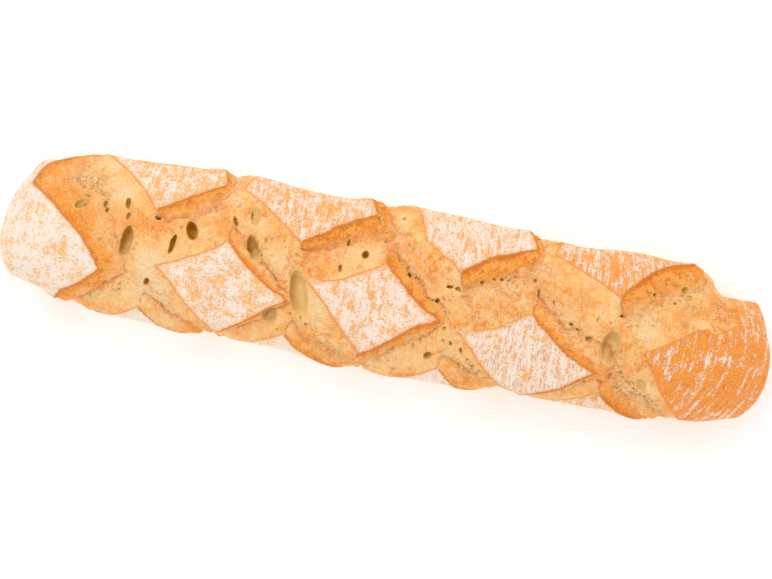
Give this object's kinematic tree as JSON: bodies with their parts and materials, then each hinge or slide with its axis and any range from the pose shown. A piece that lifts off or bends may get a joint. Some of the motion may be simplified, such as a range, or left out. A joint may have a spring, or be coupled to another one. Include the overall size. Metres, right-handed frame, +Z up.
{
  "type": "rustic loaf",
  "caption": "Long rustic loaf with blunt ends, dusted with flour and slashed crosswise, so that diamonds of pale crust are left between torn golden openings.",
  "frame": {"origin": "under the middle of the loaf, on its flat base", "axes": "+X along the loaf, towards the end whose openings have their smooth side nearer; +Y across it; +Z up, out of the slashed crust"},
  "size_m": [0.4206, 0.0944, 0.0651],
  "materials": {
    "crust": null
  },
  "bodies": {
    "root": {"loaf": "crust"}
  },
  "joints": []
}
